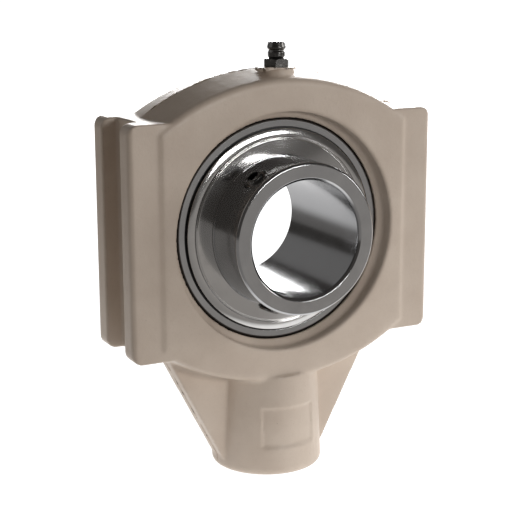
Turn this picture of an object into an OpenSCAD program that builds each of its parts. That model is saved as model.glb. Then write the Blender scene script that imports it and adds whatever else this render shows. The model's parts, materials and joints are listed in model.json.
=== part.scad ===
// Take-up bearing unit: an insert ball bearing on a spherical seat in a cast housing
// with a guide groove on each side and a threaded boss for the adjusting spindle.
// Bore axis along Y, set screw side towards -Y, grease nipple up, origin at the bearing centre.

/* [Inner ring] */
// Shaft bore
bore_d = 40; // [37:0.5:42]
// Depth of the land on both sides of the race below the circle of ball centres
land_drop = 3.8; // [3.5:0.1:4.2]
// Depth of the collars beyond the flingers below the land
collar_step = 0.3; // [0.1:0.05:0.6]
// Reach of the ring in front of the bearing centre
inner_front = 30.2; // [29:0.1:34]
// Reach of the ring behind the bearing centre
inner_rear = 19; // [17:0.1:23]
// Chamfer at both ends of the bore
bore_chamfer = 0.9; // [0.4:0.1:1.5]
// Chamfer on the outside of both end faces
collar_chamfer = 0.7; // [0.3:0.1:1.2]

/* [Outer ring] */
// Diameter of the spherical outside
sphere_d = 80; // [79:0.25:83]
// Width of the ring
outer_w = 21; // [20.5:0.1:24]
// Height of the bore beside the race above the circle of ball centres
shoulder_rise = 3.6; // [3.3:0.1:4]
// Depth of the mouth round each seal, beyond that bore
mouth_step = 2; // [1.6:0.1:2.2]
// Chamfer between the faces and the spherical outside
ring_edge = 0.6; // [0.3:0.1:0.9]
// Width of the grease groove round the outside
groove_w = 2.6; // [1.8:0.1:3]
// Depth of the grease groove
groove_depth = 0.7; // [0.4:0.1:1]
// Distance of the grease groove in front of the bearing centre
groove_front = 6.9; // [6:0.1:7.5]
// Diameter of the grease holes through the ring
grease_hole_d = 1.8; // [1.2:0.1:2.4]

/* [Balls and cage] */
// Ball diameter
ball_d = 12.7; // [12:0.1:13]
// Number of balls
ball_count = 9; // [7:1:9]
// Clearance between a ball and each race
ball_gap = 0.1; // [0.05:0.01:0.2]
// Thickness of the pressed cage sheet
cage_t = 1; // [0.7:0.1:1.1]
// Radial clearance of the cage to both rings
cage_gap = 1.5; // [1:0.1:1.8]
// Clearance between a ball and its pocket
pocket_gap = 0.25; // [0.15:0.01:0.35]
// Diameter of the rivet shanks
rivet_d = 1.8; // [1.2:0.1:2]
// Diameter of the rivet heads
rivet_head_d = 3.2; // [2.6:0.1:3.6]
// Height of each rivet head
rivet_head_h = 0.7; // [0.4:0.1:0.9]

/* [Seals and flingers] */
// Thickness of the steel seal plates
plate_t = 0.7; // [0.5:0.05:0.8]
// Depth of the seal plates behind the ring faces
plate_inset = 0.9; // [0.8:0.05:1.1]
// Depth of the groove that holds the rim of a seal plate
plate_grip = 0.5; // [0.3:0.05:0.6]
// Radial gap between the seal plates and the inner ring
plate_gap = 2.3; // [1.8:0.1:2.8]
// Thickness of the rubber moulded on the seal plates
rubber_t = 0.45; // [0.3:0.05:0.5]
// Clearance between a rubber lip and the inner ring
lip_gap = 0.15; // [0.1:0.01:0.25]
// Sheet thickness of the flingers
flinger_t = 0.8; // [0.6:0.05:0.9]
// Height of the flingers above the outer ring faces
flinger_out = 1.5; // [1.3:0.1:2.5]
// Radial gap between a flinger and the mouth of the outer ring
flinger_gap = 0.6; // [0.4:0.1:1.2]
// Radial width of the bevel along the flinger rim
flinger_bevel = 2.6; // [1.6:0.1:3]
// Fall of the bevel from its crest to the flinger rim
flinger_fall = 0.4; // [0.2:0.05:0.6]
// Running gap between a flinger collar and the rubber behind it
flinger_run = 0.35; // [0.3:0.05:0.5]
// Depth of the flat below the crest of the bevel
flinger_step = 0.3; // [0.1:0.05:0.4]

/* [Set screws] */
// Thread diameter
screw_d = 8; // [6:0.5:8.5]
// Length of each screw
screw_len = 6.8; // [6:0.1:8]
// Distance of the screws from the front face of the ring
screw_inset = 7.8; // [6.5:0.1:8.5]
// Gap between each screw tip and the bore
tip_gap = 0.15; // [0.1:0.05:0.5]
// Width across the flats of the hexagon sockets
socket_af = 4; // [3:0.1:4.5]
// Depth of the hexagon sockets
socket_depth = 3.4; // [2:0.1:4]
// Angle of the first screw, counted from +X towards +Z
screw_angle = 127; // [0:1:359]
// Angle between the two screws
screw_spread = 120; // [60:1:120]

/* [Housing body] */
// Width of the body between the guide rails
body_w = 93.5; // [90:0.5:95]
// Depth of the body along the bore
body_depth = 33.5; // [33:0.5:40]
// Reach of the crown above the bearing centre, at the faces
body_top = 52; // [51:0.5:56]
// Reach of the crown below the bearing centre, at the faces
body_bottom = 52; // [51:0.5:54]
// Radius of the top and bottom crowns
crown_r = 78; // [72:1:90]
// Growth of the casting from its faces to the parting plane
draft = 2.6; // [1:0.1:3.5]
// Width of the parting line round the casting
parting_w = 0.8; // [0.4:0.1:2]
// Rounding along the edges of both faces
face_edge = 2.2; // [1.5:0.1:3.5]
// Clearance of the outer ring on the spherical seat
seat_gap = 0.05; // [0.02:0.01:0.1]
// Width of the spherical seat beyond each face of the outer ring
seat_margin = 0.2; // [0.1:0.1:0.6]
// Width of the ledge round the seat
ledge_w = 2.4; // [1.5:0.1:3.2]
// Depth of the ledge in front of the seat
ledge_out = 1.6; // [1:0.1:2.5]
// Rounding of the recess into the body face
mouth_edge = 0.6; // [0.4:0.1:2]
// Width of the loading slots in the rear wall, beyond the ring's own width
loading_gap = 1; // [0.5:0.1:2]

/* [Guide rails] */
// Distance between the outsides of both rails
rail_span = 114; // [112:0.5:118]
// Distance between the floors of both guide grooves
floor_span = 102; // [100:0.5:104]
// Width of the guide grooves
guide_w = 16; // [13:0.5:18]
// Depth of the rails along the bore
rail_depth = 32; // [30:0.5:35]
// Length of the rails
rail_len = 79.5; // [76:0.5:84]
// Rounding along the rails
rail_edge = 1.6; // [0.8:0.1:2]
// Rounding of the rail ends
rail_corner = 3.5; // [2:0.1:5]

/* [Spindle boss] */
// Reach of the boss below the bearing centre
boss_reach = 86.2; // [80:0.1:92]
// Diameter of the boss at its end
boss_d = 39.4; // [37:0.1:42]
// Overlap of the boss with the body, above the body's lowest edge
boss_lap = 1.5; // [1:0.1:3]
// Taper of the boss, in diameter over its full reach
boss_taper = 7.4; // [2:0.1:9]
// Rounding round the end of the boss
boss_edge = 2; // [1:0.1:3]
// Thread diameter for the spindle
spindle_d = 24; // [18:1:24]
// Depth of the spindle thread
spindle_depth = 30; // [24:1:32]
// Chamfer at the mouth of the spindle thread
spindle_chamfer = 1.2; // [0.6:0.1:1.6]
// Thickness of the web beside the boss
web_t = 10; // [8:0.5:14]
// Half width of the web where it leaves the body
web_top = 36.5; // [34:0.5:39]
// Half width of the web at the foot of the boss
web_foot = 19.4; // [18.4:0.1:20]
// Height of the foot of the web above the boss end
web_rise = 4; // [3:0.5:8]
// Width of the panel sunk in the front of the boss
panel_w = 20; // [12:0.5:22]
// Height of the panel
panel_h = 14.5; // [8:0.5:18]
// Height of the lower edge of the panel above the boss end
panel_rise = 10; // [6:0.5:12]
// Depth of the panel
panel_depth = 0.6; // [0.2:0.05:0.8]

/* [Grease nipple] */
// Distance of the nipple in front of the bearing centre
nipple_front = 8.2; // [7:0.1:8.4]
// Diameter of the cast boss under the nipple
nipple_boss_d = 12; // [11:0.5:15]
// Height of the cast boss above the bearing centre
nipple_boss_top = 55.5; // [54.5:0.1:59]
// Thread diameter of the nipple
nipple_d = 6; // [5:0.5:7]
// Length of the nipple thread
nipple_thread = 6; // [5:0.5:7]
// Clearance of the nipple thread in the housing
nipple_fit = 0.02; // [0.01:0.01:0.05]
// Width across the flats of the hexagon
nipple_af = 8; // [7.5:0.1:9]
// Height of the hexagon
nipple_hex_h = 2.8; // [2:0.1:4]
// Height of the neck and head above the hexagon
nipple_head_h = 5.6; // [5:0.1:7]
// Diameter of the head
nipple_head_d = 6.4; // [6:0.1:7]
// Diameter of the flat top of the head
nipple_tip_d = 5.3; // [4.6:0.1:5.6]
// Diameter of the neck under the head
nipple_neck_d = 5; // [4.6:0.1:5.2]
// Diameter of the collar between the neck and the hexagon
nipple_collar_d = 5.7; // [5.4:0.1:6.2]
// Thickness of the head over the check ball
nipple_roof_t = 1.6; // [1.2:0.1:2]
// Thickness of the floor under the spring
nipple_floor_t = 1.5; // [1:0.1:2]
// Diameter of the check ball
check_ball_d = 2.6; // [2.2:0.1:2.8]
// Diameter of the grease mouth in the head
nipple_mouth_d = 1.8; // [1.4:0.1:2]
// Diameter of the spring wire
wire_d = 0.36; // [0.3:0.02:0.44]
// Turns of the spring
spring_turns = 7; // [5:1:10]
// Diameter of the oil hole down to the seat
oil_d = 2.4; // [1.6:0.1:2.6]

/* [Hidden] */
$fn = 96;
eps = 0.01;
run_gap = 0.05;
through = 3 * rail_span;

// Bearing
bore_r = bore_d / 2;
sphere_r = sphere_d / 2;
pitch_r = (bore_r + sphere_r) / 2;
land_r = pitch_r - land_drop;
collar_r = land_r - collar_step;
shoulder_r = pitch_r + shoulder_rise;
mouth_r = shoulder_r + mouth_step;
face_h = outer_w / 2;
ball_r = ball_d / 2;
race_r = 0.52 * ball_d;
race_shift = race_r - ball_r - ball_gap;
pocket_r = ball_r + pocket_gap;
cage_inner_r = land_r + cage_gap;
cage_outer_r = shoulder_r - cage_gap;
ball_step = 360 / ball_count;

// Seals and flingers, as heights in front of the bearing centre
plate_front = face_h - plate_inset;
plate_back = plate_front - plate_t;
plate_r = mouth_r + plate_grip - run_gap;
plate_inner_r = land_r + plate_gap;
rubber_front = plate_front + rubber_t;
lip_r = land_r + lip_gap;
flinger_front = face_h + flinger_out;
flinger_back = rubber_front + flinger_run;
flinger_flat = flinger_front - flinger_step;
flinger_r = mouth_r - flinger_gap;
flinger_bore_r = land_r + eps;
land_h = flinger_front + flinger_t;

// Set screws
screw_r = screw_d / 2;
screw_h = inner_front - screw_inset;
tip_r = bore_r + tip_gap;

// Housing
seat_r = sphere_r + seat_gap;
seat_h = face_h + seat_margin;
seat_mouth_r = sqrt(seat_r * seat_r - seat_h * seat_h);
ledge_r = seat_mouth_r + ledge_w;
ledge_h = seat_h + ledge_out;
body_h = body_depth / 2;
boss_r = boss_d / 2;
boss_taper_angle = atan(boss_taper / 2 / boss_reach);
web_slope = (web_top - web_foot) / (boss_reach - web_rise - body_bottom + draft);

// Grease nipple, as heights above the bearing centre
nipple_hex_top = nipple_boss_top + nipple_hex_h;
nipple_top = nipple_hex_top + nipple_head_h;
nipple_foot = nipple_boss_top - nipple_thread;
nipple_roof = nipple_top - nipple_roof_t;
check_r = check_ball_d / 2;
wire_r = wire_d / 2;
chamber_r = check_r + 2 * run_gap;
check_h = nipple_roof - run_gap - sqrt(pow(check_r, 2) - pow(nipple_mouth_d / 2, 2));
spring_foot = nipple_foot + nipple_floor_t;
coil_r = chamber_r - wire_r - 2 * run_gap;

cast_colour = "BurlyWood";
steel_colour = "LightSteelBlue";
dark_colour = "DimGray";

balls = [for (i = [1:ball_count]) str("ball_", i)];

// Turns a profile of radius and height about the bore axis; height counts towards the front
module turned() {
    rotate([90, 0, 0]) rotate_extrude() children();
}

// Keeps a half section and its image behind the bearing centre
module both_faces() {
    children();
    mirror([0, 1]) children();
}

// Turns a front piece over, to the same place behind the bearing centre
module rear() {
    rotate([180, 0, 0]) children();
}

// Points the Z axis of its children outwards from the bore axis, at an angle and a height
module radial(angle, height) {
    translate([0, -height, 0]) rotate([0, 90 - angle, 0]) children();
}

module ring_section(inner, outer, low, high) {
    translate([inner, low]) square([outer - inner, high - low]);
}

module rounded_rectangle(w, h, r) {
    square([w - 2 * r, h], center = true);
    square([w, h - 2 * r], center = true);
    for (x = [-1, 1], y = [-1, 1]) translate([x * (w / 2 - r), y * (h / 2 - r)]) circle(r);
}

// Half section of a casting that grows by the draft from its faces to its parting line
module drafted_section(reach) {
    angle = atan(draft / (body_h - parting_w / 2));
    edge_x = reach - face_edge * (1 - sin(angle)) / cos(angle);
    rim = [edge_x + face_edge * cos(angle), body_h - face_edge * (1 - sin(angle))];
    polygon([[0, -body_h], [edge_x, -body_h], [rim.x, -rim.y], [reach + draft, -parting_w / 2],
             [reach + draft, parting_w / 2], rim, [edge_x, body_h], [0, body_h]]);
    for (side = [-1, 1]) translate([edge_x, side * (body_h - face_edge)]) circle(face_edge);
}

module crowned_body() {
    intersection() {
        translate([0, 0, body_top - crown_r]) turned() drafted_section(crown_r);
        translate([0, 0, crown_r - body_bottom]) turned() drafted_section(crown_r);
        linear_extrude(2 * crown_r, center = true) {
            drafted_section(body_w / 2);
            mirror([1, 0]) drafted_section(body_w / 2);
        }
    }
}

module guide_rails() {
    intersection() {
        linear_extrude(rail_len, center = true) difference() {
            rounded_rectangle(rail_span, rail_depth, rail_edge);
            for (side = [-1, 1])
                translate([side * (floor_span + rail_span) / 2, 0]) square([rail_span, guide_w], center = true);
        }
        rotate([90, 0, 0]) linear_extrude(rail_depth, center = true)
            rounded_rectangle(rail_span, rail_len, rail_corner);
    }
}

// Tapered boss round the Z axis, grown sideways by a margin
module boss_form(margin) {
    end_r = boss_r + margin;
    edge_x = end_r - boss_edge;
    top_h = boss_lap - body_bottom;
    rotate_extrude() {
        polygon([[0, -boss_reach], [edge_x, -boss_reach], [end_r, boss_edge - boss_reach],
                 [end_r - (boss_reach - boss_edge + top_h) * tan(boss_taper_angle), top_h], [0, top_h]]);
        translate([edge_x, boss_edge - boss_reach]) intersection() {
            circle(boss_edge);
            translate([0, -boss_edge]) square(boss_edge);
        }
    }
}

module web() {
    foot = web_rise - boss_reach;
    top = draft - body_bottom;
    root = web_top + web_slope * body_bottom / 2;
    rotate([90, 0, 0]) linear_extrude(web_t, center = true)
        polygon([[-web_foot, foot], [web_foot, foot], [web_top, top], [root, top + body_bottom / 2],
                 [-root, top + body_bottom / 2], [-web_top, top]]);
}

module boss_panel() {
    difference() {
        translate([-panel_w / 2, -boss_d, panel_rise - boss_reach]) cube([panel_w, boss_d, panel_h]);
        boss_form(-panel_depth);
    }
}

// Half section of the seat and of the recess from it to a face: mouth, ledge, wall and rounding
module seat_section() {
    rim_h = body_h - mouth_edge;
    rim_r = ledge_r + mouth_edge;
    intersection() {
        circle(seat_r);
        ring_section(0, seat_r, -eps, seat_h);
    }
    difference() {
        polygon([[0, seat_h - eps], [seat_mouth_r, seat_h - eps], [ledge_r, ledge_h], [ledge_r, rim_h],
                 [rim_r, rim_h], [rim_r, body_h + eps], [0, body_h + eps]]);
        translate([rim_r, rim_h]) circle(mouth_edge);
    }
}

module loading_slots() {
    slot_w = outer_w + loading_gap;
    intersection() {
        rotate([-90, 0, 0]) cylinder(r = seat_r, h = body_h + eps);
        cube([through, through, slot_w], center = true);
    }
}

module nipple_hole() {
    translate([0, -nipple_front, 0]) {
        translate([0, 0, nipple_foot - 1]) cylinder(d = nipple_d + 2 * nipple_fit, h = nipple_thread + 2);
        cylinder(d = oil_d, h = nipple_boss_top);
    }
}

module spindle_hole() {
    tip = spindle_d / 2 * tan(30);
    translate([0, 0, -boss_reach - eps]) rotate_extrude()
        polygon([[0, 0], [spindle_d / 2 + spindle_chamfer, 0], [spindle_d / 2, spindle_chamfer],
                 [spindle_d / 2, spindle_depth], [0, spindle_depth + tip]]);
}

module housing() {
    color(cast_colour) difference() {
        union() {
            crowned_body();
            guide_rails();
            web();
            boss_form(0);
            translate([0, -nipple_front, 0]) cylinder(d = nipple_boss_d, h = nipple_boss_top);
        }
        turned() both_faces() seat_section();
        loading_slots();
        boss_panel();
        nipple_hole();
        spindle_hole();
    }
}

module outer_ring() {
    groove_r = sqrt(sphere_r * sphere_r - groove_front * groove_front) - groove_depth;
    edge_r = sqrt(sphere_r * sphere_r - face_h * face_h);
    color(steel_colour) difference() {
        turned() difference() {
            intersection() {
                circle(sphere_r);
                ring_section(shoulder_r, sphere_r, -face_h, face_h);
            }
            both_faces() {
                ring_section(0, mouth_r, plate_back - run_gap, face_h + 1);
                ring_section(0, mouth_r + plate_grip, plate_back - run_gap, plate_front + run_gap);
                polygon([[edge_r - ring_edge, face_h], [edge_r - ring_edge, face_h + 1], [sphere_r, face_h + 1],
                         [sphere_r, face_h - sphere_r + edge_r - ring_edge]]);
            }
            translate([pitch_r - race_shift, 0]) circle(race_r);
            ring_section(groove_r, sphere_r + 1, groove_front - groove_w / 2, groove_front + groove_w / 2);
        }
        for (i = [0:2]) radial(90 + 120 * i, groove_front) cylinder(d = grease_hole_d, h = sphere_r);
    }
}

module inner_ring() {
    color(steel_colour) difference() {
        turned() polygon([
            [bore_r, bore_chamfer - inner_rear], [bore_r + bore_chamfer, -inner_rear],
            [collar_r - collar_chamfer, -inner_rear], [collar_r, collar_chamfer - inner_rear],
            [collar_r, -land_h], [land_r, -land_h], [land_r, land_h], [collar_r, land_h],
            [collar_r, inner_front - collar_chamfer], [collar_r - collar_chamfer, inner_front],
            [bore_r + bore_chamfer, inner_front], [bore_r, inner_front - bore_chamfer]]);
        turned() translate([pitch_r + race_shift, 0]) circle(race_r);
        for (i = [0, 1])
            radial(screw_angle + i * screw_spread, screw_h) cylinder(r = screw_r + run_gap, h = 2 * collar_r);
    }
}

module at_ball(i) {
    rotate([0, -ball_step * (i - 0.5), 0]) translate([pitch_r, 0, 0]) children();
}

module ball(i) {
    color("Silver") at_ball(i) sphere(ball_r);
}

// Pressed cage half on the front side, with its rim against the parting plane
module cage_half() {
    color("DarkGray") difference() {
        union() {
            turned() ring_section(cage_inner_r, cage_outer_r, 0, cage_t);
            intersection() {
                turned() ring_section(cage_inner_r, cage_outer_r, 0, ball_d);
                for (i = [1:ball_count]) at_ball(i) sphere(pocket_r + cage_t);
            }
        }
        for (i = [1:ball_count]) {
            at_ball(i) sphere(pocket_r);
            at_ball(i + 0.5) rotate([90, 0, 0]) cylinder(d = rivet_d + 2 * run_gap, h = through, center = true);
        }
    }
}

module cage_front() {
    cage_half();
}

module cage_rear() {
    rear() cage_half();
}

module cage_rivets() {
    color("Gainsboro") for (i = [1:ball_count]) at_ball(i + 0.5) rotate([90, 0, 0]) {
        cylinder(d = rivet_d, h = 2 * cage_t, center = true);
        for (side = [-1, 1])
            translate([0, 0, side * (cage_t + rivet_head_h / 2)])
                cylinder(d = rivet_head_d, h = rivet_head_h, center = true);
    }
}

module seal_plate() {
    color("SlateGray") turned() ring_section(plate_inner_r, plate_r, plate_back, plate_front);
}

module seal_lip() {
    rim_r = mouth_r - run_gap;
    color("Black") turned() polygon([
        [lip_r, plate_front], [lip_r + plate_t, plate_back], [plate_inner_r, plate_back],
        [plate_inner_r, plate_front], [rim_r, plate_front], [rim_r, rubber_front],
        [lip_r + rubber_t, rubber_front]]);
}

// Pressed disc on the inner ring: collar, flat, raised crease and bevelled rim
module flinger() {
    crest_r = flinger_r - flinger_bevel;
    collar = flinger_bore_r + flinger_t;
    rim_h = flinger_front - flinger_fall;
    color("Silver") turned() polygon([
        [flinger_bore_r, flinger_back], [collar, flinger_back], [collar, flinger_flat - flinger_t],
        [crest_r - flinger_step, flinger_flat - flinger_t], [crest_r, flinger_front - flinger_t],
        [flinger_r, rim_h - flinger_t], [flinger_r, rim_h], [crest_r, flinger_front],
        [crest_r - flinger_step, flinger_flat], [flinger_bore_r, flinger_flat]]);
}

module front_seal_plate() {
    seal_plate();
}

module rear_seal_plate() {
    rear() seal_plate();
}

module front_seal_lip() {
    seal_lip();
}

module rear_seal_lip() {
    rear() seal_lip();
}

module front_flinger() {
    flinger();
}

module rear_flinger() {
    rear() flinger();
}

// Grub screw with a bevelled tip and a hexagon socket
module set_screw(i) {
    bevel = screw_r / 4;
    color(dark_colour) radial(screw_angle + (i - 1) * screw_spread, screw_h) difference() {
        translate([0, 0, tip_r]) rotate_extrude()
            polygon([[0, 0], [screw_r - bevel, 0], [screw_r, bevel], [screw_r, screw_len - bevel / 2],
                     [screw_r - bevel / 2, screw_len], [0, screw_len]]);
        translate([0, 0, tip_r + screw_len - socket_depth])
            cylinder(d = socket_af / cos(30), h = socket_depth + 1, $fn = 6);
    }
}

module nipple_body() {
    collar_h = nipple_head_h / 8;
    neck_h = nipple_hex_top + nipple_head_h / 2;
    neck_slope = nipple_head_d / 2 - nipple_neck_d / 2;
    foot_r = nipple_collar_d / 2 - collar_h / 2;
    color(dark_colour) translate([0, -nipple_front, 0]) difference() {
        union() {
            translate([0, 0, nipple_foot]) cylinder(d = nipple_d, h = nipple_thread);
            translate([0, 0, nipple_boss_top]) cylinder(d = nipple_af / cos(30), h = nipple_hex_h, $fn = 6);
            rotate_extrude() polygon([
                [0, nipple_boss_top], [foot_r, nipple_boss_top], [foot_r, nipple_hex_top],
                [nipple_collar_d / 2, nipple_hex_top + collar_h], [nipple_collar_d / 2, neck_h - collar_h],
                [nipple_neck_d / 2, neck_h], [nipple_head_d / 2, neck_h + neck_slope],
                [nipple_tip_d / 2, nipple_top], [0, nipple_top]]);
        }
        translate([0, 0, spring_foot]) cylinder(r = chamber_r, h = nipple_roof - spring_foot);
        translate([0, 0, nipple_foot - 1]) cylinder(d = nipple_mouth_d, h = nipple_top);
    }
}

module nipple_ball() {
    color("Silver") translate([0, -nipple_front, check_h]) sphere(d = check_ball_d);
}

// Coil spring between the foot of the chamber and the check ball
module nipple_spring() {
    sides = 6;
    steps = 12 * spring_turns;
    low = spring_foot + wire_r + eps;
    high = check_h - sqrt(pow(check_r + wire_r, 2) - pow(coil_r, 2)) - eps;
    points = [for (k = [0:steps], s = [0:sides - 1])
        let (turn = 360 * spring_turns * k / steps, r = coil_r + wire_r * cos(360 * s / sides))
        [r * cos(turn), r * sin(turn), low + (high - low) * k / steps + wire_r * sin(360 * s / sides)]];
    walls = [for (k = [0:steps - 1], s = [0:sides - 1])
        let (a = k * sides + s, b = k * sides + (s + 1) % sides)
        [a, a + sides, b + sides, b]];
    ends = [[for (s = [0:sides - 1]) s], [for (s = [0:sides - 1]) steps * sides + sides - 1 - s]];
    color("Silver") translate([0, -nipple_front, 0]) polyhedron(points, concat(walls, ends));
}

housing();
outer_ring();
inner_ring();
for (i = [1:ball_count]) ball(i);
cage_front();
cage_rear();
cage_rivets();
front_seal_plate();
rear_seal_plate();
front_seal_lip();
rear_seal_lip();
front_flinger();
rear_flinger();
set_screw(1);  // set_screw_1
set_screw(2);  // set_screw_2
nipple_body();
nipple_ball();
nipple_spring();
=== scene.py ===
import json
import math

import bmesh
import bpy
import numpy as np
from mathutils import Matrix, Vector
from mathutils.bvhtree import BVHTree


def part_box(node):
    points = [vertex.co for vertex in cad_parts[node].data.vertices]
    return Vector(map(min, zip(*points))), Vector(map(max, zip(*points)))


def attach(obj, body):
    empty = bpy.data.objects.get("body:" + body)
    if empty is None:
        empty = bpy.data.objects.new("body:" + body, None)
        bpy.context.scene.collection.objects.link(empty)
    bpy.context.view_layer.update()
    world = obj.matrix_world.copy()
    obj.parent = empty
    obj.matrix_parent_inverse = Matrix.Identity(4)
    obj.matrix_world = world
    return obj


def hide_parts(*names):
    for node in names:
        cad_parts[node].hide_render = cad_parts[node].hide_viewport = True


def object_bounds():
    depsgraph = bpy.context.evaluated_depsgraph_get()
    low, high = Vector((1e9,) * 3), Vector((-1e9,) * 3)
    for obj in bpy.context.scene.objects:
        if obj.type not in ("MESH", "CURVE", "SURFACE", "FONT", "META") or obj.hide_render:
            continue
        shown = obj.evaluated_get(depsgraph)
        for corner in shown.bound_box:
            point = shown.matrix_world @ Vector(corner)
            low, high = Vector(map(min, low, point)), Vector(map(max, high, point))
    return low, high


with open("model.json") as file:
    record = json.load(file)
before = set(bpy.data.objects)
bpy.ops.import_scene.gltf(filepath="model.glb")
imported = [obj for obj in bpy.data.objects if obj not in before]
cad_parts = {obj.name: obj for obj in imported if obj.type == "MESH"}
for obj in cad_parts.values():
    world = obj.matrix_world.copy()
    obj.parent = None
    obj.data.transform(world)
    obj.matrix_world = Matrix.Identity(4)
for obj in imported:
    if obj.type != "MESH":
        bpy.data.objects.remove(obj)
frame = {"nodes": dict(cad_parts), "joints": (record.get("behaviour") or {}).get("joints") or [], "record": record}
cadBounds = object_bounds()
nodes = frame["nodes"]
mm = 0.001
mounts = {mount["name"]: mount for mount in frame["record"]["mounts"]}
joints = {joint["name"]: joint for joint in frame["joints"]}
boreAxisTurn = Matrix.Rotation(math.radians(90), 4, "X")  # a lathe's Z becomes -Y, the front
print("frame loaded,", len(nodes), "solids")


# Shader maths

class Val:  # one shader socket that takes part in sums
    def __init__(self, finish, socket):
        self.finish = finish
        self.socket = socket

    def sum(self, operation, first, second):
        return self.finish.node("ShaderNodeMath", {"operation": operation}, {0: first, 1: second})["Value"]

    def __add__(self, other):
        return self.sum("ADD", self, other)

    def __radd__(self, other):
        return self.sum("ADD", other, self)

    def __sub__(self, other):
        return self.sum("SUBTRACT", self, other)

    def __rsub__(self, other):
        return self.sum("SUBTRACT", other, self)

    def __mul__(self, other):
        return self.sum("MULTIPLY", self, other)

    def __rmul__(self, other):
        return self.sum("MULTIPLY", other, self)

    def __truediv__(self, other):
        return self.sum("DIVIDE", self, other)

    def __rtruediv__(self, other):
        return self.sum("DIVIDE", other, self)

    def __pow__(self, other):
        return self.sum("POWER", self, other)

    def __rpow__(self, other):
        return self.sum("POWER", other, self)


class Finish:  # one material and its node tree, with plain values that hold until a socket is fed
    def __init__(self, name, roughness=0.5, metallic=0.0, **fixed):
        self.material = bpy.data.materials.new(name)
        self.material.use_nodes = True
        self.tree = self.material.node_tree
        self.shader = self.tree.nodes["Principled BSDF"]
        self.place = self.node("ShaderNodeTexCoord")["Object"]
        for label, value in {"Roughness": roughness, "Metallic": metallic, **fixed}.items():
            self.shader.inputs[label].default_value = value

    def node(self, kind, settings=None, inputs=None):
        made = self.tree.nodes.new(kind)
        for label, value in (settings or {}).items():
            setattr(made, label, value)
        for label, value in (inputs or {}).items():
            if isinstance(value, Val):
                self.tree.links.new(value.socket, made.inputs[label])
            else:
                made.inputs[label].default_value = value
        return {socket.name: Val(self, socket) for socket in made.outputs if socket.enabled}

    def noise(self, size, detail=3.0, place=None, rough=0.55):  # size of one blotch in metres
        sockets = {"Vector": place or self.place, "Scale": 1 / size, "Detail": detail, "Roughness": rough}
        return self.node("ShaderNodeTexNoise", {}, sockets)["Fac"]

    def ramp(self, value, low, high):  # 0 below low, 1 above high
        return self.node("ShaderNodeMapRange", {}, {0: value, 1: low, 2: high, 3: 0.0, 4: 1.0})["Result"]

    def mix(self, mask, first, second):
        sockets = {0: mask, 6: first, 7: second}
        return self.node("ShaderNodeMix", {"data_type": "RGBA"}, sockets)["Result"]

    def feed(self, label, value):
        self.tree.links.new(value.socket, self.shader.inputs[label])

    def bump(self, height, depth):  # depth of a full step of height, in metres
        sockets = {"Height": height, "Strength": 1.0, "Distance": depth}
        self.feed("Normal", self.node("ShaderNodeBump", {}, sockets)["Normal"])

    def roundBore(self):  # distance from the bore axis and place along it
        parts = self.node("ShaderNodeSeparateXYZ", {}, {0: self.place})
        radius = (parts["X"] * parts["X"] + parts["Z"] * parts["Z"]) ** 0.5
        return self.node("ShaderNodeCombineXYZ", {}, {0: radius, 1: parts["Y"], 2: 0.0})["Vector"]


def tint(red, green, blue):
    return (red, green, blue, 1.0)


# Finishes: a pair of numbers says where a noise or a distance begins to show and where it shows in full

castPaint = {
    "beige": tint(0.53, 0.435, 0.355), "pale": tint(0.585, 0.49, 0.405), "thin": tint(0.4, 0.31, 0.24),
    "bare": tint(0.13, 0.09, 0.06), "sheen": {"Specular IOR Level": 0.42, "Coat Roughness": 0.32},
    "grain": 0.55 * mm, "peel": 2.6 * mm, "cloud": 17 * mm, "speck": 1.3 * mm, "nick": 4.5 * mm,
    "grainy": (0.42, 0.2), "glossy": (0.3, 0.7), "cloudy": (0.36, 0.68), "specked": (0.69, 0.76),
    "nicked": (0.53, 0.56), "worn": (0.3, 0.9), "thinGrain": 0.35, "thinEdge": 0.12, "speckDepth": 0.55,
    "coat": 0.22, "relief": 0.075 * mm,
}


def makeCastPaint(name, nicks):  # nicks is how far the paint is gone at each nick, from 0 to 1
    paint = Finish(name, **castPaint["sheen"])
    grain = paint.noise(castPaint["grain"], 4)
    peel = paint.noise(castPaint["peel"], 2)
    cloud = paint.noise(castPaint["cloud"], 4)
    edge = paint.node("ShaderNodeAttribute", {"attribute_name": "edge"})["Fac"]
    specks = paint.ramp(paint.noise(castPaint["speck"], 5, rough=0.7), *castPaint["specked"])
    nicked = paint.ramp(paint.noise(castPaint["nick"], 3), *castPaint["nicked"])
    thinGrain = paint.ramp(grain, *castPaint["grainy"]) * castPaint["thinGrain"]
    thinEdge = paint.ramp(edge * (0.5 + peel), *castPaint["worn"]) * castPaint["thinEdge"]
    colour = paint.mix(paint.ramp(cloud, *castPaint["cloudy"]), castPaint["beige"], castPaint["pale"])
    colour = paint.mix(thinGrain, colour, castPaint["thin"])
    colour = paint.mix(thinEdge, colour, castPaint["thin"])
    colour = paint.mix(nicked * nicks, colour, castPaint["bare"])
    paint.feed("Base Color", paint.mix(specks * castPaint["speckDepth"], colour, castPaint["bare"]))
    paint.feed("Roughness", 0.4 + 0.16 * grain + 0.1 * cloud)
    paint.feed("Coat Weight", castPaint["coat"] * paint.ramp(peel, *castPaint["glossy"]))
    paint.bump(0.5 * grain + 1.1 * peel + 0.6 * specks, castPaint["relief"])
    return paint.material


# rim is painted shade: the dark of the gap where the outer ring's edge meets the housing
groundSteel = {
    "bright": tint(0.5, 0.5, 0.505), "dull": tint(0.36, 0.36, 0.365), "bore": tint(0.26, 0.26, 0.265),
    "rim": tint(0.05, 0.044, 0.04), "line": 0.9 * mm, "smear": 9 * mm, "hazy": (0.35, 0.75),
    "boreR": (20.5 * mm, 20.2 * mm), "rimR": (37.5 * mm, 37.7 * mm),
}


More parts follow.
